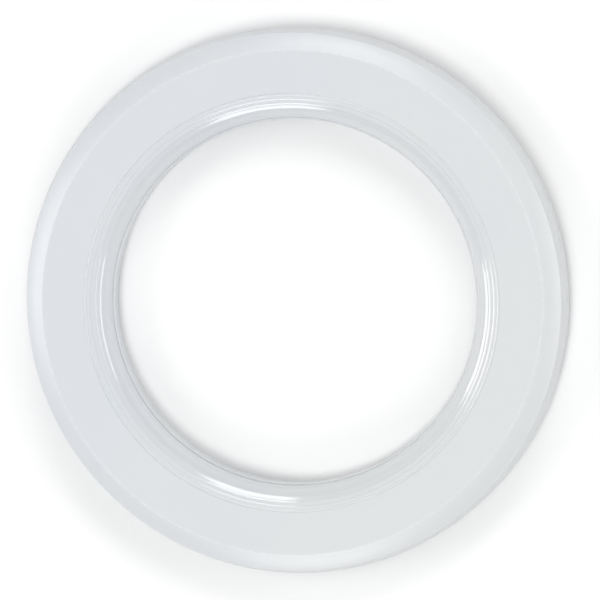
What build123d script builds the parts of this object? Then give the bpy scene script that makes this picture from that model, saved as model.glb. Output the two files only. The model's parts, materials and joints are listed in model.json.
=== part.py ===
from build123d import *
import os
from math import acos, cos, degrees, radians, sin

# A wide, flat-faced hand hoop: a hollow ring of two moulded shells, with a band round its rim
# and a beaded collar round its hole. Millimetres.
# +Z is the axis of the ring, out of the front face. The origin is the centre of the rear face,
# which the hoop lies on.

os.makedirs("parts", exist_ok=True)

# Driving dimensions of the ring
OUTER_RADIUS = 150.0
HOLE_RADIUS = 100.0
THICKNESS = 27.0

# The section of the front, as radius and height
FACE_OUTER_RADIUS = 138.1
FACE_INNER_RADIUS = 114.7
CORNER_RADIUS = 147.2
CORNER_HEIGHT = 21.8
BEVEL_CROWN = 0.35
FACE_PLATE = 2.4
SKIRT_WALL = 2.2
SKIRT_FOOT = 5.0
OVERHANG = 0.6
GAP = 0.1

# The rim band, on a conical seat between the bevel and the rear shell
BAND_THICKNESS = 2.1
BAND_DRAFT = 2.4
SEAM_HEIGHT = 10.0
SEAM_GAP = 0.2
EDGE_ROUND = 0.4

# The grip collar: almost a quarter circle in section, with rounded beads next to the face and a
# tongue that goes down behind the wall of the hole
LIP_RADIUS = 101.0
LIP_HEIGHT = 13.1
LIP_DROP = 0.2
COLLAR_WALL = 1.8
COLLAR_FOOT = 5.0
BEAD_WIDTHS = (1.5, 2.2, 3.0, 2.9)
BEAD_CROWN = 0.11

# The rear shell
REAR_WALL = 2.8
REAR_FLOOR = 2.4
HOLE_WALL_HEIGHT = 13.0
HOLE_WALL_ROUND = 0.8
REAR_OUTER_ROUND = 3.0
REAR_INNER_ROUND = 1.6

# Screws, with their bosses, wells and plugs
SCREW_COUNT = 8
SCREW_PITCH_RADIUS = 126.0
SCREW_START_ANGLE = 22.5
SCREW_RADIUS = 1.5
SCREW_LENGTH = 14.0
SCREW_POINT = 1.4
SCREW_TAPER = 1.2
HEAD_RADIUS = 3.5
HEAD_HEIGHT = 2.4
RECESS_LENGTH = 4.0
RECESS_WIDTH = 0.9
RECESS_DEPTH = 1.3
BOSS_RADIUS = 4.0
BOSS_FOOT = 8.0
BOSS_HOLE_RADIUS = 1.55
BOSS_HOLE_TOP = 20.5
WELL_RADIUS = 4.5
WELL_WALL = 2.4
WELL_DEPTH = 5.6
CLEARANCE_HOLE_RADIUS = 1.95
PLUG_RADIUS = 4.45
PLUG_RECESS = 0.3
PLUG_CAP = 1.5
PLUG_SKIRT = 1.1
PLUG_SKIRT_WALL = 0.8
PRY_SLOT_LENGTH = 3.2
PRY_SLOT_WIDTH = 0.8
PRY_SLOT_DEPTH = 0.5

# Radial ribs in both shells
RIB_COUNT = 16
RIB_START_ANGLE = 11.25
RIB_THICKNESS = 1.6
REAR_RIB_TOP = 8.0

# Values worked out from the ones above
COLLAR_CENTRE = FACE_INNER_RADIUS - GAP
COLLAR_TOP = THICKNESS - LIP_DROP
LIP_WIDTH = COLLAR_CENTRE - LIP_RADIUS
LIP_RISE = COLLAR_TOP - LIP_HEIGHT
TONGUE_RADIUS = HOLE_RADIUS + REAR_WALL + GAP
SEAT_WIDTH = COLLAR_CENTRE - TONGUE_RADIUS - COLLAR_WALL - GAP
SEAT_RISE = LIP_RISE - COLLAR_WALL - GAP
UNDER_WIDTH = SEAT_WIDTH - SKIRT_WALL
UNDER_RISE = SEAT_RISE - SKIRT_WALL
SEAT_TOP_RADIUS = CORNER_RADIUS - BAND_THICKNESS
SEAT_TOP_HEIGHT = CORNER_HEIGHT - OVERHANG
SEAT_FOOT_RADIUS = SEAT_TOP_RADIUS + BAND_DRAFT - GAP
PLATE_UNDERSIDE = THICKNESS - FACE_PLATE


def corner(section, radius, height):
    """The vertex of a section that lies nearest to a radius and a height."""
    return section.vertices().sort_by_distance((radius, height))[0]


def quarter_lip(width, rise):
    """A quarter ellipse from the top of the collar's curve down to its foot."""
    return EllipticalCenterArc(
        (COLLAR_CENTRE, LIP_HEIGHT), width, rise, start_angle=90, arc_size=90
    )


def lip_angle(inward):
    """The ellipse's own angle, in degrees, at a distance in from the seam with the face."""
    return degrees(acos(-inward / LIP_WIDTH))


def lip_point(inward):
    """The point on the collar's curve at a distance in from the seam with the face."""
    return (COLLAR_CENTRE - inward, LIP_HEIGHT + LIP_RISE * sin(radians(lip_angle(inward))))


def radial_plane(angle):
    """The upright plane through the ring's axis at an angle, with local x pointing outward."""
    a = radians(angle)
    return Plane(origin=(0, 0, 0), x_dir=(cos(a), sin(a), 0), z_dir=(sin(a), -cos(a), 0))


def spread(count, start):
    """Evenly spaced angles round the ring."""
    return [start + 360.0 * k / count for k in range(count)]


# Front shell: face, bevel, the cone under the rim band and the seat under the collar
with BuildPart() as front_shell:
    with BuildSketch(Plane.XZ) as front_section:
        with BuildLine():
            Line((COLLAR_CENTRE + GAP, THICKNESS), (FACE_OUTER_RADIUS, THICKNESS))
            SagittaArc((FACE_OUTER_RADIUS, THICKNESS), (CORNER_RADIUS, CORNER_HEIGHT), BEVEL_CROWN)
            Polyline(
                (CORNER_RADIUS, CORNER_HEIGHT),
                (CORNER_RADIUS, SEAT_TOP_HEIGHT),
                (SEAT_TOP_RADIUS, SEAT_TOP_HEIGHT),
                (SEAT_FOOT_RADIUS, SEAM_HEIGHT),
                (SEAT_FOOT_RADIUS, SKIRT_FOOT),
                (SEAT_FOOT_RADIUS - SKIRT_WALL, SKIRT_FOOT),
                (SEAT_FOOT_RADIUS - SKIRT_WALL, SEAM_HEIGHT),
                (SEAT_TOP_RADIUS - SKIRT_WALL, SEAT_TOP_HEIGHT),
                (FACE_OUTER_RADIUS - FACE_PLATE / 4, PLATE_UNDERSIDE),
                (COLLAR_CENTRE + FACE_PLATE, PLATE_UNDERSIDE),
                (COLLAR_CENTRE, LIP_HEIGHT + UNDER_RISE),
            )
            quarter_lip(UNDER_WIDTH, UNDER_RISE)
            Polyline(
                (COLLAR_CENTRE - UNDER_WIDTH, LIP_HEIGHT),
                (COLLAR_CENTRE - UNDER_WIDTH, SKIRT_FOOT),
                (COLLAR_CENTRE - SEAT_WIDTH, SKIRT_FOOT),
                (COLLAR_CENTRE - SEAT_WIDTH, LIP_HEIGHT),
            )
            quarter_lip(SEAT_WIDTH, SEAT_RISE)
            Polyline(
                (COLLAR_CENTRE, LIP_HEIGHT + SEAT_RISE),
                (COLLAR_CENTRE + GAP, LIP_HEIGHT + SEAT_RISE),
                (COLLAR_CENTRE + GAP, THICKNESS),
            )
        make_face()
        fillet(corner(front_section, FACE_OUTER_RADIUS, THICKNESS), radius=EDGE_ROUND)
        fillet(corner(front_section, CORNER_RADIUS, CORNER_HEIGHT), radius=EDGE_ROUND)
    revolve(axis=Axis.Z)
    for rib_angle in spread(RIB_COUNT, RIB_START_ANGLE):
        with BuildSketch(radial_plane(rib_angle)):
            with BuildLine():
                Polyline(
                    (COLLAR_CENTRE, LIP_HEIGHT + UNDER_RISE + SKIRT_WALL / 2),
                    (COLLAR_CENTRE + FACE_PLATE, PLATE_UNDERSIDE + FACE_PLATE / 3),
                    (FACE_OUTER_RADIUS - FACE_PLATE / 4, PLATE_UNDERSIDE + FACE_PLATE / 3),
                    (SEAT_TOP_RADIUS - SKIRT_WALL / 2, SEAT_TOP_HEIGHT),
                    ((SEAT_TOP_RADIUS + SEAT_FOOT_RADIUS - SKIRT_WALL) / 2, LIP_HEIGHT),
                    (COLLAR_CENTRE - UNDER_WIDTH - SKIRT_WALL / 2, LIP_HEIGHT),
                )
                quarter_lip(UNDER_WIDTH + SKIRT_WALL / 2, UNDER_RISE + SKIRT_WALL / 2)
            make_face()
        extrude(amount=RIB_THICKNESS / 2, both=True)
    with BuildSketch(Plane.XY.offset(BOSS_FOOT)):
        with PolarLocations(SCREW_PITCH_RADIUS, SCREW_COUNT, start_angle=SCREW_START_ANGLE):
            Circle(BOSS_RADIUS)
    extrude(amount=PLATE_UNDERSIDE + FACE_PLATE / 2 - BOSS_FOOT)
    with BuildSketch(Plane.XY.offset(BOSS_FOOT)):
        with PolarLocations(SCREW_PITCH_RADIUS, SCREW_COUNT, start_angle=SCREW_START_ANGLE):
            Circle(BOSS_HOLE_RADIUS)
    extrude(amount=BOSS_HOLE_TOP - BOSS_FOOT, mode=Mode.SUBTRACT)
front_shell.part.label = "front_shell"
export_step(front_shell.part, "parts/front_shell.step")


# Rim band: a drafted hoop that the bevel's overhang and the rear wall trap on its seat
with BuildPart() as rim_band:
    with BuildSketch(Plane.XZ) as band_section:
        band_top = SEAT_TOP_HEIGHT - SEAM_GAP
        band_foot = SEAM_HEIGHT + SEAM_GAP
        with BuildLine():
            Polyline(
                (SEAT_TOP_RADIUS + GAP, band_top),
                (CORNER_RADIUS + GAP, band_top),
                (OUTER_RADIUS - SEAM_GAP, band_foot),
                (SEAT_FOOT_RADIUS + GAP, band_foot),
                close=True,
            )
        make_face()
        fillet(corner(band_section, CORNER_RADIUS + GAP, band_top), radius=EDGE_ROUND)
        fillet(corner(band_section, OUTER_RADIUS - SEAM_GAP, band_foot), radius=EDGE_ROUND)
    revolve(axis=Axis.Z)
rim_band.part.label = "rim_band"
export_step(rim_band.part, "parts/rim_band.step")


# Grip collar: the rounded lip of the hole, resting on the rear wall. Its tongue stands between the
# two shells, just above the rear ribs, and a sharp valley parts each bead from the next.
with BuildPart() as grip_collar:
    with BuildSketch(Plane.XZ):
        with BuildLine():
            inward = 0.0
            for bead_width in BEAD_WIDTHS:
                crown = BEAD_CROWN * bead_width
                SagittaArc(lip_point(inward + bead_width), lip_point(inward), crown)
                inward += bead_width
            EllipticalCenterArc(
                (COLLAR_CENTRE, LIP_HEIGHT),
                LIP_WIDTH,
                LIP_RISE,
                start_angle=lip_angle(inward),
                arc_size=180 - lip_angle(inward),
            )
            Polyline(
                (LIP_RADIUS, LIP_HEIGHT),
                (TONGUE_RADIUS, LIP_HEIGHT),
                (TONGUE_RADIUS, COLLAR_FOOT),
                (TONGUE_RADIUS + COLLAR_WALL, COLLAR_FOOT),
                (TONGUE_RADIUS + COLLAR_WALL, LIP_HEIGHT),
            )
            quarter_lip(SEAT_WIDTH + GAP, SEAT_RISE + GAP)
            Line((COLLAR_CENTRE, COLLAR_TOP - COLLAR_WALL), (COLLAR_CENTRE, COLLAR_TOP))
        make_face()
    revolve(axis=Axis.Z)
grip_collar.part.label = "grip_collar"
export_step(grip_collar.part, "parts/grip_collar.step")


# Rear shell: floor, outer wall, the wall of the hole, ribs and screw wells
with BuildPart() as rear_shell:
    with BuildSketch(Plane.XZ) as rear_section:
        wall_top_radius = HOLE_RADIUS + REAR_WALL
        with BuildLine():
            Polyline(
                (HOLE_RADIUS, 0),
                (OUTER_RADIUS, 0),
                (OUTER_RADIUS, SEAM_HEIGHT),
                (SEAT_FOOT_RADIUS + GAP, SEAM_HEIGHT),
                (SEAT_FOOT_RADIUS + GAP, REAR_FLOOR),
                (wall_top_radius, REAR_FLOOR),
                (wall_top_radius, HOLE_WALL_HEIGHT),
                (HOLE_RADIUS, HOLE_WALL_HEIGHT),
                close=True,
            )
        make_face()
        fillet(corner(rear_section, OUTER_RADIUS, 0), radius=REAR_OUTER_ROUND)
        fillet(corner(rear_section, OUTER_RADIUS, SEAM_HEIGHT), radius=EDGE_ROUND)
        fillet(corner(rear_section, HOLE_RADIUS, 0), radius=REAR_INNER_ROUND)
        fillet(corner(rear_section, HOLE_RADIUS, HOLE_WALL_HEIGHT), radius=HOLE_WALL_ROUND)
    revolve(axis=Axis.Z)
    for rib_angle in spread(RIB_COUNT, RIB_START_ANGLE):
        with BuildSketch(radial_plane(rib_angle)):
            shoulder = SKIRT_FOOT - 2 * SEAM_GAP
            rib_inner = COLLAR_CENTRE - UNDER_WIDTH + 2 * SEAM_GAP
            rib_outer = SEAT_FOOT_RADIUS - SKIRT_WALL - 2 * SEAM_GAP
            with BuildLine():
                Polyline(
                    (HOLE_RADIUS + REAR_WALL / 2, REAR_FLOOR / 2),
                    (OUTER_RADIUS - REAR_WALL / 2, REAR_FLOOR / 2),
                    (OUTER_RADIUS - REAR_WALL / 2, shoulder),
                    (rib_outer, shoulder),
                    (rib_outer, REAR_RIB_TOP),
                    (rib_inner, REAR_RIB_TOP),
                    (rib_inner, shoulder),
                    (HOLE_RADIUS + REAR_WALL / 2, shoulder),
                    close=True,
                )
            make_face()
        extrude(amount=RIB_THICKNESS / 2, both=True)
    with BuildSketch(Plane.XY.offset(REAR_FLOOR / 2)):
        with PolarLocations(SCREW_PITCH_RADIUS, SCREW_COUNT, start_angle=SCREW_START_ANGLE):
            Circle(WELL_RADIUS + WELL_WALL)
    extrude(amount=BOSS_FOOT - REAR_FLOOR / 2)
    with BuildSketch(Plane.XY):
        with PolarLocations(SCREW_PITCH_RADIUS, SCREW_COUNT, start_angle=SCREW_START_ANGLE):
            Circle(WELL_RADIUS)
    extrude(amount=WELL_DEPTH, mode=Mode.SUBTRACT)
    with BuildSketch(Plane.XY):
        with PolarLocations(SCREW_PITCH_RADIUS, SCREW_COUNT, start_angle=SCREW_START_ANGLE):
            Circle(CLEARANCE_HOLE_RADIUS)
    extrude(amount=BOSS_FOOT, mode=Mode.SUBTRACT)
rear_shell.part.label = "rear_shell"
export_step(rear_shell.part, "parts/rear_shell.step")


# Shell screws: pan heads with a cross recess, driven up from the rear
with BuildPart() as shell_screws:
    with BuildSketch(Plane.XY.offset(WELL_DEPTH - HEAD_HEIGHT)):
        with PolarLocations(SCREW_PITCH_RADIUS, SCREW_COUNT, start_angle=SCREW_START_ANGLE):
            Circle(HEAD_RADIUS)
    extrude(amount=HEAD_HEIGHT)
    chamfer(shell_screws.faces().filter_by(Axis.Z).group_by(Axis.Z)[0].edges(), length=EDGE_ROUND)
    with BuildSketch(Plane.XY.offset(WELL_DEPTH)):
        with PolarLocations(SCREW_PITCH_RADIUS, SCREW_COUNT, start_angle=SCREW_START_ANGLE):
            Circle(SCREW_RADIUS)
    extrude(amount=SCREW_LENGTH)
    points = shell_screws.faces().filter_by(Axis.Z).group_by(Axis.Z)[-1].edges()
    chamfer(points, length=SCREW_POINT, length2=SCREW_TAPER)
    with BuildSketch(Plane.XY.offset(WELL_DEPTH - HEAD_HEIGHT)):
        with PolarLocations(SCREW_PITCH_RADIUS, SCREW_COUNT, start_angle=SCREW_START_ANGLE):
            Rectangle(RECESS_LENGTH, RECESS_WIDTH)
            Rectangle(RECESS_WIDTH, RECESS_LENGTH)
    extrude(amount=RECESS_DEPTH, mode=Mode.SUBTRACT)
shell_screws.part.label = "shell_screws"
export_step(shell_screws.part, "parts/shell_screws.step")


# Screw plugs: press-in caps, a little below the rear face, each with a slot to lift it out
for number, plug_angle in enumerate(spread(SCREW_COUNT, SCREW_START_ANGLE), start=1):
    plug_centre = (
        SCREW_PITCH_RADIUS * cos(radians(plug_angle)),
        SCREW_PITCH_RADIUS * sin(radians(plug_angle)),
        PLUG_RECESS,
    )
    plug_plane = Plane(origin=plug_centre, x_dir=(-sin(radians(plug_angle)), cos(radians(plug_angle)), 0))
    with BuildPart() as screw_plug:
        with BuildSketch(plug_plane):
            Circle(PLUG_RADIUS)
        extrude(amount=PLUG_CAP)
        fillet(screw_plug.edges().group_by(Axis.Z)[0], radius=EDGE_ROUND)
        with BuildSketch(plug_plane.offset(PLUG_CAP)):
            Circle(PLUG_RADIUS)
            Circle(PLUG_RADIUS - PLUG_SKIRT_WALL, mode=Mode.SUBTRACT)
        extrude(amount=PLUG_SKIRT)
        with BuildSketch(plug_plane):
            SlotOverall(PRY_SLOT_LENGTH, PRY_SLOT_WIDTH)
        extrude(amount=PRY_SLOT_DEPTH, mode=Mode.SUBTRACT)
    screw_plug.part.label = f"screw_plug_{number}"
    export_step(screw_plug.part, f"parts/screw_plug_{number}.step")
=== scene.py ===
import json
from math import asin, cos, pi, radians, sin, sqrt, tan

import bmesh
import bpy
from mathutils import Matrix, Vector


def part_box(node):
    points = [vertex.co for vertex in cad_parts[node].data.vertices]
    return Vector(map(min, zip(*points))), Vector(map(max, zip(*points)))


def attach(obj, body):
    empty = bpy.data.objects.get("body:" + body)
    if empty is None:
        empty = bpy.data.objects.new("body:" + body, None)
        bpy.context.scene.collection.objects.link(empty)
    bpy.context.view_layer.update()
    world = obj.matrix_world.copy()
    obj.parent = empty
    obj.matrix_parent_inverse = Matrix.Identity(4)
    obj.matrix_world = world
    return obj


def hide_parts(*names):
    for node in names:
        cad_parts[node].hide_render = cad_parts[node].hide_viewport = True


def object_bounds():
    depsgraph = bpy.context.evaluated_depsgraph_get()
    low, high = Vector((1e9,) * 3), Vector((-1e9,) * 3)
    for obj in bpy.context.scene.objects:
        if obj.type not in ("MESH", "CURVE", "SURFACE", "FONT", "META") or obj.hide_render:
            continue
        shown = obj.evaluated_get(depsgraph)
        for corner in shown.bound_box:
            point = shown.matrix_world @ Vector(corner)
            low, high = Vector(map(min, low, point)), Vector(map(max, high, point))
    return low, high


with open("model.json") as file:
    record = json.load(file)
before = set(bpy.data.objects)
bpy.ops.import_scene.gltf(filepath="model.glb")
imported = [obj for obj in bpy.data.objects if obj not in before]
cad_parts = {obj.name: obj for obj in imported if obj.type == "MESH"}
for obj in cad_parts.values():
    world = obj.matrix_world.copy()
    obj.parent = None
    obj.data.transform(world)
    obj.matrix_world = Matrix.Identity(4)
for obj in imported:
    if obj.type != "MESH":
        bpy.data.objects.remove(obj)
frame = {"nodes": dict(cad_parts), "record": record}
CAD_LOW, CAD_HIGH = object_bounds()

# A wide, flat-faced hand hoop in milky plastic. Lengths are in millimetres until a mesh is made.
MM = 0.001

# Sizes that the frame gives
OUTER_RADIUS = CAD_HIGH.x / MM
THICKNESS = CAD_HIGH.z / MM
MOUNTS = {mount["name"]: mount for mount in frame["record"]["mounts"]}
HOLE_RADIUS = MOUNTS["centre_hole"]["dims"]["r_mm"]
BAND_LOW, BAND_HIGH = (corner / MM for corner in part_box("rim_band"))
COLLAR_LOW, COLLAR_HIGH = (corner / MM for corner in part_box("grip_collar"))
SHELL_LOW, SHELL_HIGH = (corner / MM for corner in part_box("front_shell"))
REAR_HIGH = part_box("rear_shell")[1] / MM

# The section of the front, as radius and height
FACE_OUTER_RADIUS = 138.1
CORNER_RADIUS = SHELL_HIGH.x
CORNER_HEIGHT = 21.8
BEVEL_CROWN = 0.35
FACE_PLATE = 2.4
SKIRT_WALL = 2.2
GAP = 0.1
SEAM_GAP = 0.2
BAND_THICKNESS = 2.1
BAND_DRAFT = 2.4
SEAM_HEIGHT = BAND_LOW.z - SEAM_GAP
SEAT_TOP_HEIGHT = BAND_HIGH.z + SEAM_GAP
SEAT_TOP_RADIUS = CORNER_RADIUS - BAND_THICKNESS
SEAT_FOOT_RADIUS = SEAT_TOP_RADIUS + BAND_DRAFT - GAP
PLATE_UNDERSIDE = THICKNESS - FACE_PLATE

# The collar's quarter ellipse and its beads
COLLAR_CENTRE = COLLAR_HIGH.x
LIP_DROP = 0.2
COLLAR_TOP = THICKNESS - LIP_DROP
LIP_RADIUS = 101.0
LIP_HEIGHT = 13.1
COLLAR_WALL = 1.8
REAR_WALL = 2.8
BEAD_WIDTHS = (1.5, 2.2, 3.0, 2.9)
BEAD_CROWNS = (0.16, 0.14, 0.115, 0.09)
LIP_WIDTH = COLLAR_CENTRE - LIP_RADIUS
LIP_RISE = COLLAR_TOP - LIP_HEIGHT
TONGUE_RADIUS = HOLE_RADIUS + REAR_WALL + GAP
SEAT_WIDTH = COLLAR_CENTRE - TONGUE_RADIUS - COLLAR_WALL - GAP
SEAT_RISE = LIP_RISE - COLLAR_WALL - GAP
UNDER_WIDTH = SEAT_WIDTH - SKIRT_WALL
UNDER_RISE = SEAT_RISE - SKIRT_WALL

# The rear shell
REAR_FLOOR = 2.4
HOLE_WALL_ROUND = 0.8
REAR_OUTER_ROUND = 3.0
REAR_INNER_ROUND = 1.6

# Screws, bosses, wells and ribs
SCREW_COUNT = 8
SCREW_PITCH_RADIUS = 126.0
SCREW_START_ANGLE = 22.5
BOSS_RADIUS = 4.0
BOSS_HOLE_RADIUS = 1.55
BOSS_FOOT = 8.0
BOSS_HOLE_TOP = 20.5
WELL_RADIUS = 4.5
WELL_WALL = 2.4
WELL_DEPTH = 5.6
CLEARANCE_HOLE_RADIUS = 1.95
RIB_COUNT = 16
RIB_START_ANGLE = 11.25
RIB_THICKNESS = 1.6
REAR_RIB_TOP = 8.0

# How finely the meshes are cut
RING_STEPS = 288
ROUND_STEPS = 4
CURVE_STEPS = 12
BEAD_STEPS = 8
LONGEST_RUN = 8.0
SUPPORT = 0.15
SHARP_ANGLE = 50

# Seams that show only as a hairline, and the roundings of the moulded edges
HAIRLINE = 0.006
SEAM_ROUND = 0.05
LEDGE_ROUND = 0.1
HIDDEN_ROUND = 0.15
SKIRT_ROUND = 0.3
EDGE_ROUND = 0.4
INSIDE_ROUND = 0.6
FACE_ROUND = 0.8


# ---------------------------------------------------------------- sections and meshes

def corner_arcs(corners):
    """A run of points for each (radius, height, rounding) corner of a closed outline."""
    arcs = []
    for index, (x, z, rounding) in enumerate(corners):
        here = Vector((x, z))
        if rounding == 0:
            arcs.append([here])
            continue
        before = (Vector(corners[index - 1][:2]) - here).normalized()
        after = (Vector(corners[(index + 1) % len(corners)][:2]) - here).normalized()
        half = before.angle(after) / 2
        centre = here + (before + after).normalized() * rounding / sin(half)
        start = here + before * rounding / tan(half) - centre
        end = here + after * rounding / tan(half) - centre
        turn = start.angle(end)
        arc = []
        for step in range(ROUND_STEPS + 1):
            share = step / ROUND_STEPS
            arm = start * sin((1 - share) * turn) + end * sin(share * turn)
            arc.append(centre + arm / sin(turn))
        arcs.append(arc)
    return arcs


def rounded(corners):
    """A closed outline with each corner rounded."""
    return [point for arc in corner_arcs(corners) for point in arc]


def spaced(outline):
    """The outline with its long straight runs cut up, and a support point close to each end."""
    points = []
    for index, here in enumerate(outline):
        run = outline[(index + 1) % len(outline)] - here
        points.append(here)
        if run.length > LONGEST_RUN / 4:
            inner = int(run.length / LONGEST_RUN) + 1
            support = run.normalized() * SUPPORT
            points.append(here + support)
            points.extend(here + run * (step / inner) for step in range(1, inner))
            points.append(here + run - support)
    return points


def lip_point(inward, width, rise):
    """The point on a quarter ellipse at a distance in from its top."""
    return Vector((COLLAR_CENTRE - inward, LIP_HEIGHT + rise * sqrt(1 - (inward / width) ** 2)))


def quarter_lip(width, rise, start=0.0):
    """Points of the quarter ellipse from a distance in from its top down to its foot."""
    first = asin(start / width)
    turns = [first + (pi / 2 - first) * step / CURVE_STEPS for step in range(CURVE_STEPS)]
    return [lip_point(width * sin(a), width, rise) for a in turns] + [
        Vector((COLLAR_CENTRE - width, LIP_HEIGHT))
    ]


def crowned(start, end, crown, steps):
    """Points between two corners along a shallow arc, on the left of the way from one to the other."""
    chord = end - start
    left = Vector((-chord.y, chord.x)).normalized()
    shares = [step / steps for step in range(1, steps)]
    return [start + chord * s + left * crown * 4 * s * (1 - s) for s in shares]


def lathe(name, outline):
    """A closed ring mesh: the outline turned about the Z axis."""
    mesh = bpy.data.meshes.new(name)
    count = len(outline)
    verts = []
    for step in range(RING_STEPS):
        turn = 2 * pi * step / RING_STEPS
        verts.extend((x * MM * cos(turn), x * MM * sin(turn), z * MM) for x, z in outline)
    faces = []
    for step in range(RING_STEPS):
        this, that = step * count, (step + 1) % RING_STEPS * count
        for index in range(count):
            after = (index + 1) % count
            faces.append((this + index, that + index, that + after, this + after))
    mesh.from_pydata(verts, [], faces)
    piece = bpy.data.objects.new(name, mesh)
    bpy.context.scene.collection.objects.link(piece)
    make_outward(mesh)
    return piece


def make_outward(mesh):
    """Turns every face outward and shades it smooth."""
    form = bmesh.new()
    form.from_mesh(mesh)
    bmesh.ops.recalc_face_normals(form, faces=form.faces)
    for face in form.faces:
        face.smooth = True
    form.to_mesh(mesh)
    form.free()


def spread(count, start):
    """Evenly spaced angles round the ring, in radians."""
    return [radians(start + 360 * k / count) for k in range(count)]


def add_round_bar(form, radius, low, high, centre, steps=48):
    """A closed upright cylinder in a bmesh."""
    depth = (high - low) * MM
    place = Matrix.Translation((centre[0] * MM, centre[1] * MM, (low + high) / 2 * MM))
    bmesh.ops.create_cone(
        form, cap_ends=True, segments=steps, radius1=radius * MM, radius2=radius * MM,
        depth=depth, matrix=place,
    )


def add_rib(form, outline, angle):
    """A closed radial plate in a bmesh, from (radius, height) corners."""
    turn = Matrix.Rotation(angle, 3, "Z")
    sides = []
    for side in (-RIB_THICKNESS / 2, RIB_THICKNESS / 2):
        sides.append([form.verts.new(turn @ Vector((x, side, z)) * MM) for x, z in outline])
    form.faces.new(sides[0])
    form.faces.new(list(reversed(sides[1])))
    for index in range(len(outline)):
        after = (index + 1) % len(outline)
        form.faces.new((sides[0][after], sides[0][index], sides[1][index], sides[1][after]))


def scratch_object(name, form):
    """A temporary object from a bmesh, for cutting or joining."""
    mesh = bpy.data.meshes.new(name)
    bmesh.ops.recalc_face_normals(form, faces=form.faces)
    form.to_mesh(mesh)
    form.free()
    made = bpy.data.objects.new(name, mesh)
    bpy.context.scene.collection.objects.link(made)
    return made


def combine(piece, operation, form):
    """Joins a bmesh to a piece, or cuts it away, for good."""
    tool = scratch_object("tool", form)
    step = piece.modifiers.new("combine", "BOOLEAN")
    step.operation = operation
    step.solver = "MANIFOLD"
    step.object = tool
    evaluated = piece.evaluated_get(bpy.context.evaluated_depsgraph_get())
    joined = bpy.data.meshes.new_from_object(evaluated)
    piece.modifiers.clear()
    piece.data = joined
    bpy.data.objects.remove(tool)


def soften(piece):
    """Smooth shading with the flats kept flat."""
    for face in piece.data.polygons:
        face.use_smooth = True
    piece.data.set_sharp_from_angle(angle=radians(SHARP_ANGLE))
    weighted = piece.modifiers.new("weighted_normals", "WEIGHTED_NORMAL")
    weighted.mode = "FACE_AREA"
    weighted.keep_sharp = True


def dress(piece, material, node):
    """Shades and paints a finished piece, and puts it in the place of its CAD node."""
    soften(piece)
    paint(piece, material)
    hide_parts(node)
    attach(piece, "root")


def screw_centres():
    """The screws' places on their pitch circle."""
    angles = spread(SCREW_COUNT, SCREW_START_ANGLE)
    return [(SCREW_PITCH_RADIUS * cos(a), SCREW_PITCH_RADIUS * sin(a)) for a in angles]


# ---------------------------------------------------------------- materials

def math_node(tree, operation, first, second=None):
    """A Math node; each input is a socket or a number."""
    node = tree.nodes.new("ShaderNodeMath")
    node.operation = operation
    for socket, value in zip(node.inputs, (first, second)):
        if value is None:
            continue
        if isinstance(value, (int, float)):
            socket.default_value = value
        else:
            tree.links.new(value, socket)
    return node.outputs[0]


def noise_node(tree, vector, scale, detail=3.0, roughness=0.5):
    """A Noise texture's value."""
    node = tree.nodes.new("ShaderNodeTexNoise")
    node.inputs["Scale"].default_value = scale
    node.inputs["Detail"].default_value = detail
    node.inputs["Roughness"].default_value = roughness
    tree.links.new(vector, node.inputs["Vector"])
    return node.outputs["Fac"]


def ramp_node(tree, value, stops):
    """A colour ramp from (place, colour) stops."""
    node = tree.nodes.new("ShaderNodeValToRGB")
    ramp = node.color_ramp
    while len(ramp.elements) < len(stops):
        ramp.elements.new(0.5)
    for element, (place, colour) in zip(ramp.elements, stops):
        element.position = place
        element.color = (*colour, 1.0)
    tree.links.new(value, node.inputs["Fac"])
    return node.outputs["Color"]


def remap(tree, value, low_in, high_in, low_out, high_out):
    """A clamped Map Range."""
    node = tree.nodes.new("ShaderNodeMapRange")
    for name, number in zip(
        ("From Min", "From Max", "To Min", "To Max"), (low_in, high_in, low_out, high_out)
    ):
        node.inputs[name].default_value = number
    tree.links.new(value, node.inputs["Value"])
    return node.outputs["Result"]


def ring_coordinates(tree, place):
    """Each point's radius, height and place across the ring, and a vector that follows the ring."""
    parts = tree.nodes.new("ShaderNodeSeparateXYZ")
    tree.links.new(place, parts.inputs[0])
    x, y, z = parts.outputs
    squares = math_node(tree, "ADD", math_node(tree, "MULTIPLY", x, x), math_node(tree, "MULTIPLY", y, y))
    radius = math_node(tree, "SQRT", squares)
    turn = math_node(tree, "ARCTAN2", y, x)
    around = tree.nodes.new("ShaderNodeCombineXYZ")
    tree.links.new(radius, around.inputs[0])
    tree.links.new(math_node(tree, "MULTIPLY", turn, 0.004), around.inputs[1])
    tree.links.new(z, around.inputs[2])
    return radius, z, math_node(tree, "SUBTRACT", x, y), around.outputs[0]


# Edges are painted paler where rubbed: this is wear, and also a painted highlight along the crests.
WEAR_AND_HIGHLIGHT_REACH = 0.0011
RUBBED_AND_HIGHLIGHT_WHITE = (0.74, 0.75, 0.76, 1.0)


def edge_wear_and_highlight(tree, radius, height, speckle, edges):
    """1 on a worn edge, given as radius and height, and 0 away from it, broken up by a speckle; the same
    mask places a painted highlight along the edge.
    """
    total = 0.0
    for edge_radius, edge_height in edges:
        out = math_node(tree, "SUBTRACT", radius, edge_radius * MM)
        up = math_node(tree, "SUBTRACT", height, edge_height * MM)
        out_square = math_node(tree, "MULTIPLY", out, out)
        up_square = math_node(tree, "MULTIPLY", up, up)
        away = math_node(tree, "SQRT", math_node(tree, "ADD", out_square, up_square))
        near = remap(tree, away, 0.0, WEAR_AND_HIGHLIGHT_REACH, 1.0, 0.0)
        total = math_node(tree, "MAXIMUM", total, near)
    return math_node(tree, "MULTIPLY", total, remap(tree, speckle, 0.45, 0.62, 0.0, 1.0))


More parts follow.
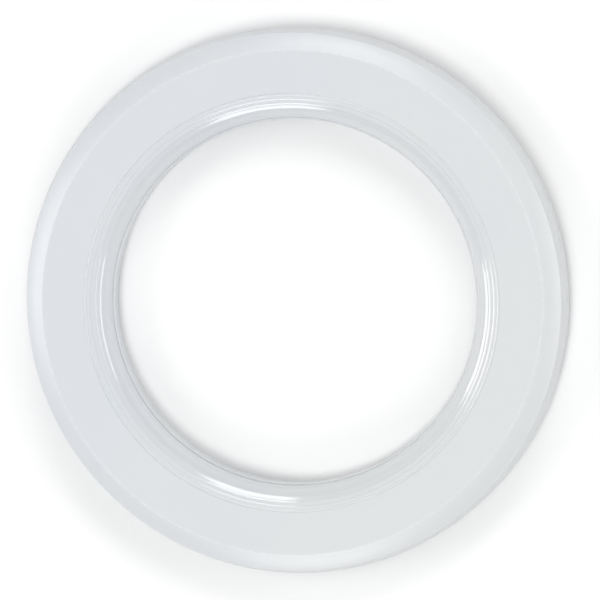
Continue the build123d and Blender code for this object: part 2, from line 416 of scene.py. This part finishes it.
def milky_plastic(name, cool, neutral, gloss, ior, worn_and_highlit_edges):
    """Milky moulded plastic: a cloudy tint that runs cooler towards one side, fine grain, hairline
    scuffs, and edges painted paler, partly as wear and partly as a painted highlight.
    """
    material = bpy.data.materials.new(name)
    material.use_nodes = True
    tree = material.node_tree
    shader = tree.nodes["Principled BSDF"]
    place = tree.nodes.new("ShaderNodeTexCoord").outputs["Object"]
    radius, height, across, around = ring_coordinates(tree, place)

    clouds = noise_node(tree, place, 9.0, detail=4.0)
    mottle = noise_node(tree, place, 160.0, detail=5.0, roughness=0.6)
    speckle = noise_node(tree, place, 900.0, detail=4.0, roughness=0.65)
    hairlines = noise_node(tree, around, 5200.0, detail=2.0)
    wear_and_highlight = edge_wear_and_highlight(tree, radius, height, speckle, worn_and_highlit_edges)

    # One side of the ring is painted a cooler, slightly darker white than the other.
    side_tint = remap(tree, across, -OUTER_RADIUS * MM, OUTER_RADIUS * MM, -0.2, 0.2)
    tint = math_node(tree, "ADD", clouds, math_node(tree, "MULTIPLY", mottle, 0.2))
    colour = ramp_node(tree, math_node(tree, "ADD", tint, side_tint), ((0.42, cool), (0.78, neutral)))
    pale_and_highlit = tree.nodes.new("ShaderNodeMix")
    pale_and_highlit.data_type = "RGBA"
    # Edges paled towards white: wear, and a painted highlight along the edges.
    tree.links.new(math_node(tree, "MULTIPLY", wear_and_highlight, 0.3), pale_and_highlit.inputs["Factor"])
    tree.links.new(colour, pale_and_highlit.inputs["A"])
    pale_and_highlit.inputs["B"].default_value = RUBBED_AND_HIGHLIGHT_WHITE
    tree.links.new(pale_and_highlit.outputs["Result"], shader.inputs["Base Color"])

    grain = remap(tree, mottle, 0.3, 0.7, 0.92 * gloss, 1.15 * gloss)
    scuffed = remap(tree, hairlines, 0.62, 0.78, 0.0, 0.4 * gloss)
    rubbed = math_node(tree, "MULTIPLY", wear_and_highlight, 0.6 * gloss)
    rough = math_node(tree, "ADD", math_node(tree, "ADD", grain, scuffed), rubbed)
    tree.links.new(rough, shader.inputs["Roughness"])

    lines = math_node(tree, "MULTIPLY", hairlines, 0.35)
    relief = math_node(tree, "ADD", math_node(tree, "ADD", speckle, lines), mottle)
    bump = tree.nodes.new("ShaderNodeBump")
    bump.inputs["Strength"].default_value = 0.12
    bump.inputs["Distance"].default_value = 0.00012
    tree.links.new(relief, bump.inputs["Height"])
    tree.links.new(bump.outputs["Normal"], shader.inputs["Normal"])

    shader.inputs["IOR"].default_value = ior
    shader.inputs["Subsurface Weight"].default_value = 0.2
    shader.inputs["Subsurface Radius"].default_value = (1.0, 1.05, 1.15)
    shader.inputs["Subsurface Scale"].default_value = 0.002
    return material


def plated_steel(name):
    """Zinc-plated steel with turned marks and dull patches."""
    material = bpy.data.materials.new(name)
    material.use_nodes = True
    tree = material.node_tree
    shader = tree.nodes["Principled BSDF"]
    place = tree.nodes.new("ShaderNodeTexCoord").outputs["Object"]
    patches = noise_node(tree, place, 700.0, detail=4.0)
    marks = noise_node(tree, place, 5000.0, detail=2.0)
    colour = ramp_node(tree, patches, ((0.35, (0.50, 0.50, 0.51)), (0.7, (0.68, 0.68, 0.67))))
    tree.links.new(colour, shader.inputs["Base Color"])
    tree.links.new(remap(tree, marks, 0.3, 0.7, 0.22, 0.42), shader.inputs["Roughness"])
    bump = tree.nodes.new("ShaderNodeBump")
    bump.inputs["Strength"].default_value = 0.2
    bump.inputs["Distance"].default_value = 0.00005
    tree.links.new(marks, bump.inputs["Height"])
    tree.links.new(bump.outputs["Normal"], shader.inputs["Normal"])
    shader.inputs["Metallic"].default_value = 1.0
    return material


def paint(piece, material):
    """Gives a piece one material."""
    piece.data.materials.clear()
    piece.data.materials.append(material)


COOL_WHITE = (0.512, 0.531, 0.552)
NEUTRAL_WHITE = (0.531, 0.544, 0.549)
BAND_WHITE = (0.505, 0.518, 0.532)

shell_plastic = milky_plastic(
    "shell_plastic", COOL_WHITE, NEUTRAL_WHITE, 0.33, 1.6,
    ((FACE_OUTER_RADIUS, THICKNESS), (CORNER_RADIUS, CORNER_HEIGHT)),
)
rear_plastic = milky_plastic(
    "rear_plastic", COOL_WHITE, NEUTRAL_WHITE, 0.33, 1.6,
    ((OUTER_RADIUS, SEAM_HEIGHT), (OUTER_RADIUS, 0), (HOLE_RADIUS, 0), (HOLE_RADIUS, REAR_HIGH.z)),
)
band_plastic = milky_plastic(
    "band_plastic", BAND_WHITE, NEUTRAL_WHITE, 0.34, 1.5,
    ((CORNER_RADIUS, BAND_HIGH.z), (OUTER_RADIUS, BAND_LOW.z)),
)
collar_plastic = milky_plastic(
    "collar_plastic", COOL_WHITE, NEUTRAL_WHITE, 0.10, 1.7,
    ((COLLAR_CENTRE, COLLAR_TOP), (LIP_RADIUS, LIP_HEIGHT)),
)
plug_plastic = milky_plastic(
    "plug_plastic", BAND_WHITE, NEUTRAL_WHITE, 0.38, 1.5, ()
)
screw_steel = plated_steel("screw_steel")


# ---------------------------------------------------------------- front shell

def front_shell():
    """Face, bevel, skirts and the seat under the collar, with ribs and screw bosses inside."""
    arcs = corner_arcs([
        (COLLAR_CENTRE + HAIRLINE, THICKNESS, SEAM_ROUND),
        (FACE_OUTER_RADIUS, THICKNESS, FACE_ROUND),
        (CORNER_RADIUS, CORNER_HEIGHT, EDGE_ROUND),
        (CORNER_RADIUS, SEAT_TOP_HEIGHT, LEDGE_ROUND),
        (SEAT_TOP_RADIUS, SEAT_TOP_HEIGHT, 0),
        (SEAT_FOOT_RADIUS, SEAM_HEIGHT, 0),
        (SEAT_FOOT_RADIUS, SHELL_LOW.z, SKIRT_ROUND),
        (SEAT_FOOT_RADIUS - SKIRT_WALL, SHELL_LOW.z, SKIRT_ROUND),
        (SEAT_FOOT_RADIUS - SKIRT_WALL, SEAM_HEIGHT, 0),
        (SEAT_TOP_RADIUS - SKIRT_WALL, SEAT_TOP_HEIGHT, INSIDE_ROUND),
        (FACE_OUTER_RADIUS - FACE_PLATE / 4, PLATE_UNDERSIDE, INSIDE_ROUND),
        (COLLAR_CENTRE + FACE_PLATE, PLATE_UNDERSIDE, INSIDE_ROUND),
        (COLLAR_CENTRE, LIP_HEIGHT + UNDER_RISE, 0),
    ])
    bevel = crowned(arcs[1][-1], arcs[2][0], BEVEL_CROWN, CURVE_STEPS)
    outline = arcs[0] + arcs[1] + bevel
    for arc in arcs[2:]:
        outline += arc
    outline += quarter_lip(UNDER_WIDTH, UNDER_RISE)[1:]
    outline.append(Vector((COLLAR_CENTRE - UNDER_WIDTH, SHELL_LOW.z)))
    outline.append(Vector((COLLAR_CENTRE - SEAT_WIDTH, SHELL_LOW.z)))
    outline += reversed(quarter_lip(SEAT_WIDTH, SEAT_RISE))
    outline.append(Vector((COLLAR_CENTRE + HAIRLINE, LIP_HEIGHT + SEAT_RISE)))
    piece = lathe("front_shell_moulding", spaced(outline))

    rib = [
        Vector((COLLAR_CENTRE + FACE_PLATE, PLATE_UNDERSIDE + FACE_PLATE / 3)),
        Vector((FACE_OUTER_RADIUS - FACE_PLATE / 4, PLATE_UNDERSIDE + FACE_PLATE / 3)),
        Vector((SEAT_TOP_RADIUS - SKIRT_WALL / 2, SEAT_TOP_HEIGHT)),
        Vector(((SEAT_TOP_RADIUS + SEAT_FOOT_RADIUS - SKIRT_WALL) / 2, LIP_HEIGHT)),
    ]
    rib += reversed(quarter_lip(UNDER_WIDTH + SKIRT_WALL / 2, UNDER_RISE + SKIRT_WALL / 2))
    inside = bmesh.new()
    for angle in spread(RIB_COUNT, RIB_START_ANGLE):
        add_rib(inside, rib, angle)
    for centre in screw_centres():
        add_round_bar(inside, BOSS_RADIUS, BOSS_FOOT, PLATE_UNDERSIDE + FACE_PLATE / 2, centre)
    combine(piece, "UNION", inside)
    holes = bmesh.new()
    for centre in screw_centres():
        add_round_bar(holes, BOSS_HOLE_RADIUS, BOSS_FOOT - 1, BOSS_HOLE_TOP, centre)
    combine(piece, "DIFFERENCE", holes)
    dress(piece, shell_plastic, "front_shell")


front_shell()


# ---------------------------------------------------------------- rim band

def rim_band():
    """The drafted band on its conical seat, with softened edges."""
    outline = rounded([
        (SEAT_TOP_RADIUS + GAP, BAND_HIGH.z, HIDDEN_ROUND),
        (CORNER_RADIUS + GAP, BAND_HIGH.z, EDGE_ROUND),
        (OUTER_RADIUS - SEAM_GAP, BAND_LOW.z, EDGE_ROUND),
        (SEAT_FOOT_RADIUS + GAP, BAND_LOW.z, HIDDEN_ROUND),
    ])
    dress(lathe("rim_band_moulding", spaced(outline)), band_plastic, "rim_band")


rim_band()


# ---------------------------------------------------------------- grip collar

def beaded_lip():
    """The collar's outer curve from the seam down to its foot: four beads, then a plain curve."""
    inward = 0.0
    points = [lip_point(0.0, LIP_WIDTH, LIP_RISE)]
    for bead_width, crown in zip(BEAD_WIDTHS, BEAD_CROWNS):
        start = lip_point(inward, LIP_WIDTH, LIP_RISE)
        inward += bead_width
        end = lip_point(inward, LIP_WIDTH, LIP_RISE)
        points += crowned(start, end, -crown * bead_width, BEAD_STEPS)
        points.append(end)
    return points + quarter_lip(LIP_WIDTH, LIP_RISE, inward)[1:]


def grip_collar():
    """The rounded lip of the hole."""
    ledge = REAR_HIGH.z + HAIRLINE
    outline = beaded_lip()
    outline.append(Vector((LIP_RADIUS, ledge)))
    outline.append(Vector((TONGUE_RADIUS, ledge)))
    outline.append(Vector((TONGUE_RADIUS, COLLAR_LOW.z)))
    outline.append(Vector((TONGUE_RADIUS + COLLAR_WALL, COLLAR_LOW.z)))
    outline += reversed(quarter_lip(SEAT_WIDTH + GAP, SEAT_RISE + GAP))
    dress(lathe("grip_collar_moulding", spaced(outline)), collar_plastic, "grip_collar")


grip_collar()


# ---------------------------------------------------------------- rear shell

def rear_shell():
    """Floor, outer wall and hole wall, with ribs and screw wells."""
    seat = SEAT_FOOT_RADIUS + GAP
    inner = HOLE_RADIUS + REAR_WALL
    outline = rounded([
        (HOLE_RADIUS, 0, REAR_INNER_ROUND),
        (inner, 0, 0),
        (OUTER_RADIUS, 0, REAR_OUTER_ROUND),
        (OUTER_RADIUS, SEAM_HEIGHT, EDGE_ROUND),
        (seat, SEAM_HEIGHT, HIDDEN_ROUND),
        (seat, REAR_FLOOR, INSIDE_ROUND),
        (inner, REAR_FLOOR, INSIDE_ROUND),
        (inner, REAR_HIGH.z, HIDDEN_ROUND),
        (HOLE_RADIUS, REAR_HIGH.z, HOLE_WALL_ROUND),
    ])
    piece = lathe("rear_shell_moulding", spaced(outline))

    shoulder = SHELL_LOW.z - 2 * SEAM_GAP
    rib_inner = COLLAR_CENTRE - UNDER_WIDTH + 2 * SEAM_GAP
    rib_outer = SEAT_FOOT_RADIUS - SKIRT_WALL - 2 * SEAM_GAP
    rib = [
        (HOLE_RADIUS + REAR_WALL / 2, REAR_FLOOR / 2),
        (OUTER_RADIUS - REAR_WALL / 2, REAR_FLOOR / 2),
        (OUTER_RADIUS - REAR_WALL / 2, shoulder),
        (rib_outer, shoulder),
        (rib_outer, REAR_RIB_TOP),
        (rib_inner, REAR_RIB_TOP),
        (rib_inner, shoulder),
        (HOLE_RADIUS + REAR_WALL / 2, shoulder),
    ]
    inside = bmesh.new()
    for angle in spread(RIB_COUNT, RIB_START_ANGLE):
        add_rib(inside, rib, angle)
    for centre in screw_centres():
        add_round_bar(inside, WELL_RADIUS + WELL_WALL, REAR_FLOOR / 2, BOSS_FOOT, centre, 64)
    combine(piece, "UNION", inside)
    wells = bmesh.new()
    for centre in screw_centres():
        add_round_bar(wells, WELL_RADIUS, -1, WELL_DEPTH, centre, 64)
    combine(piece, "DIFFERENCE", wells)
    holes = bmesh.new()
    for centre in screw_centres():
        add_round_bar(holes, CLEARANCE_HOLE_RADIUS, WELL_DEPTH - 1, BOSS_FOOT + 1, centre)
    combine(piece, "DIFFERENCE", holes)
    dress(piece, rear_plastic, "rear_shell")


rear_shell()


# ---------------------------------------------------------------- screws and plugs

paint(frame["nodes"]["shell_screws"], screw_steel)
for number in range(1, SCREW_COUNT + 1):
    paint(frame["nodes"][f"screw_plug_{number}"], plug_plastic)


# ---------------------------------------------------------------- floor, light and camera

def floor():
    """A plain white floor under the hoop."""
    mesh = bpy.data.meshes.new("floor")
    half = 30.0
    drop = 0.0001
    corners = [(-half, -half, 0), (half, -half, 0), (half, half, 0), (-half, half, 0)]
    mesh.from_pydata(corners, [], [(0, 1, 2, 3)])
    plane = bpy.data.objects.new("floor", mesh)
    bpy.context.scene.collection.objects.link(plane)
    material = bpy.data.materials.new("floor_white")
    material.use_nodes = True
    shader = material.node_tree.nodes["Principled BSDF"]
    shader.inputs["Base Color"].default_value = (0.73, 0.73, 0.73, 1)
    shader.inputs["Roughness"].default_value = 0.9
    shader.inputs["Specular IOR Level"].default_value = 0.1
    paint(plane, material)
    plane.location.z = -drop


def soft_box(name, azimuth, elevation, distance, width, height, radiance):
    """A rectangular softbox that faces the hoop. Azimuth runs counterclockwise from +X."""
    data = bpy.data.lights.new(name, "AREA")
    data.shape = "RECTANGLE"
    data.size = width
    data.size_y = height
    data.energy = radiance * pi * width * height
    lamp = bpy.data.objects.new(name, data)
    a, e = radians(azimuth), radians(elevation)
    toward = Vector((cos(a) * cos(e), sin(a) * cos(e), sin(e)))
    lamp.location = toward * distance
    lamp.rotation_euler = toward.to_track_quat("Z", "Y").to_euler()
    bpy.context.scene.collection.objects.link(lamp)
    return lamp


def lights():
    """A pale sky, a low box at each side for the edges, and a high key and a fill.

    The key casts the shadow. Reflections leave out the key and the fill.
    """
    key = soft_box("key", 246, 72, 5.0, 1.6, 1.6, 12.0)
    key.visible_glossy = False
    soft_box("left", 178, 31, 4.0, 2.1, 2.2, 4.0)
    soft_box("top", 87, 36, 4.0, 1.7, 1.8, 4.6)
    soft_box("bottom", 267, 29, 4.0, 1.9, 1.9, 4.2)
    soft_box("right", 2, 18, 4.0, 3.0, 1.2, 3.6)
    fill = soft_box("fill", 42, 38, 4.0, 5.2, 1.7, 1.8)
    fill.visible_glossy = False
    world = bpy.data.worlds.new("studio")
    world.use_nodes = True
    background = world.node_tree.nodes["Background"]
    background.inputs["Color"].default_value = (0.985, 0.99, 1.0, 1)
    background.inputs["Strength"].default_value = 0.44
    bpy.context.scene.world = world
    bpy.context.scene.view_settings.view_transform = "Standard"


def camera():
    """Almost straight down on the face, a little from the right and the top."""
    lean_right = 8.5
    lean_up = 4.4
    distance = 3.0
    frame_width = 0.3284
    aim_right = 0.0031
    aim_up = 0.0009
    data = bpy.data.cameras.new("camera")
    data.sensor_width = 36.0
    data.lens = data.sensor_width * distance / frame_width
    data.clip_end = 20.0
    view = bpy.data.objects.new("camera", data)
    back = Vector((tan(radians(lean_right)), tan(radians(lean_up)), 1)).normalized()
    right = Vector((0, 1, 0)).cross(back).normalized()
    up = back.cross(right)
    target = Vector((0, 0, THICKNESS / 2 * MM)) + right * aim_right + up * aim_up
    turned = Matrix((right, up, back)).transposed().to_4x4()
    view.matrix_world = Matrix.Translation(target + back * distance) @ turned
    bpy.context.scene.collection.objects.link(view)
    bpy.context.scene.camera = view


floor()
lights()
camera()
